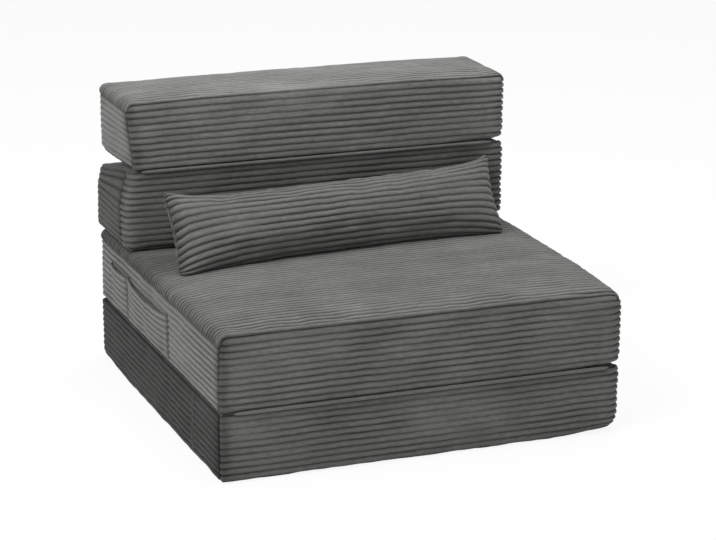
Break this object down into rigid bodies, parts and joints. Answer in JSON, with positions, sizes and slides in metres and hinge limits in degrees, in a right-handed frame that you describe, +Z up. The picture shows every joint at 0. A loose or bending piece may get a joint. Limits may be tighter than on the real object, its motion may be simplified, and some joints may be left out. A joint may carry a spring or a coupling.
{
  "type": "folding floor chair",
  "caption": "Floor chair of stacked foam blocks in corduroy covers, hinged in a zigzag so that it opens into a flat bed, with a loose lumbar pillow and side pockets.",
  "frame": {"origin": "on the floor, under the middle of the two seat blocks", "axes": "+X to the right seen from the front, +Y from the front to the rear, +Z up"},
  "size_m": [0.7733, 0.7472, 0.5609],
  "materials": {
    "corduroy": "matte",
    "foam": "matte",
    "fibre_filling": "matte",
    "liner": "matte",
    "zip": "satin",
    "zip_slider": "satin"
  },
  "bodies": {
    "lower_seat": {"lower_seat_foam": "foam", "lower_seat_liner": "liner", "lower_seat_top_panel": "corduroy", "lower_seat_bottom_panel": "corduroy", "lower_seat_front_panel": "corduroy", "lower_seat_rear_panel": "corduroy", "lower_seat_left_panel": "corduroy", "lower_seat_right_panel": "corduroy", "lower_seat_zip": "zip"},
    "lower_seat_slider": {"lower_seat_zip_slider": "zip_slider"},
    "upper_seat": {"upper_seat_foam": "foam", "upper_seat_liner": "liner", "upper_seat_top_panel": "corduroy", "upper_seat_bottom_panel": "corduroy", "upper_seat_front_panel": "corduroy", "upper_seat_rear_panel": "corduroy", "upper_seat_left_panel": "corduroy", "upper_seat_right_panel": "corduroy", "upper_seat_zip": "zip", "large_pocket": "corduroy", "small_pocket": "corduroy", "seat_hinge_welt": "corduroy", "back_hinge_welt": "corduroy"},
    "upper_seat_slider": {"upper_seat_zip_slider": "zip_slider"},
    "lower_back": {"lower_back_foam": "foam", "lower_back_liner": "liner", "lower_back_top_panel": "corduroy", "lower_back_bottom_panel": "corduroy", "lower_back_front_panel": "corduroy", "lower_back_rear_panel": "corduroy", "lower_back_left_panel": "corduroy", "lower_back_right_panel": "corduroy", "lower_back_zip": "zip", "top_hinge_welt": "corduroy"},
    "lower_back_slider": {"lower_back_zip_slider": "zip_slider"},
    "upper_back": {"upper_back_foam": "foam", "upper_back_liner": "liner", "upper_back_top_panel": "corduroy", "upper_back_bottom_panel": "corduroy", "upper_back_front_panel": "corduroy", "upper_back_rear_panel": "corduroy", "upper_back_left_panel": "corduroy", "upper_back_right_panel": "corduroy", "upper_back_zip": "zip"},
    "upper_back_slider": {"upper_back_zip_slider": "zip_slider"},
    "pillow": {"pillow_filling": "fibre_filling", "pillow_front_panel": "corduroy", "pillow_back_panel": "corduroy", "pillow_zip": "zip"},
    "pillow_slider": {"pillow_zip_slider": "zip_slider"}
  },
  "joints": [
    {"name": "base_fold", "type": "hinge", "parent": "upper_seat", "child": "lower_seat", "pos_m": [0, -0.3702, 0.12515], "axis": [-1, 0, 0], "range_deg": [0, 180]},
    {"name": "back_fold", "type": "hinge", "parent": "upper_seat", "child": "lower_back", "pos_m": [0, 0.3702, 0.26745], "axis": [-1, 0, 0], "range_deg": [0, 180]},
    {"name": "top_fold", "type": "hinge", "parent": "lower_back", "child": "upper_back", "pos_m": [0, 0.1578, 0.42075], "axis": [1, 0, 0], "range_deg": [0, 180]},
    {"name": "pillow_lift", "type": "slide", "parent": "upper_seat", "child": "pillow", "axis": [0, -0.2588, 0.9659], "range_m": [0, 0.35]},
    {"name": "lower_seat_zip_slide", "type": "slide", "parent": "lower_seat", "child": "lower_seat_slider", "axis": [0, -1, 0], "range_m": [0, 0.655]},
    {"name": "upper_seat_zip_slide", "type": "slide", "parent": "upper_seat", "child": "upper_seat_slider", "axis": [0, -1, 0], "range_m": [0, 0.655]},
    {"name": "lower_back_zip_slide", "type": "slide", "parent": "lower_back", "child": "lower_back_slider", "axis": [0, -1, 0], "range_m": [0, 0.13]},
    {"name": "upper_back_zip_slide", "type": "slide", "parent": "upper_back", "child": "upper_back_slider", "axis": [0, -1, 0], "range_m": [0, 0.116]},
    {"name": "pillow_zip_slide", "type": "slide", "parent": "pillow", "child": "pillow_slider", "axis": [0.9969, 0.0785, 0], "range_m": [0, 0.285]}
  ],
  "couplings": [
    {"joint": "top_fold", "follows": "back_fold", "ratio": 1}
  ]
}
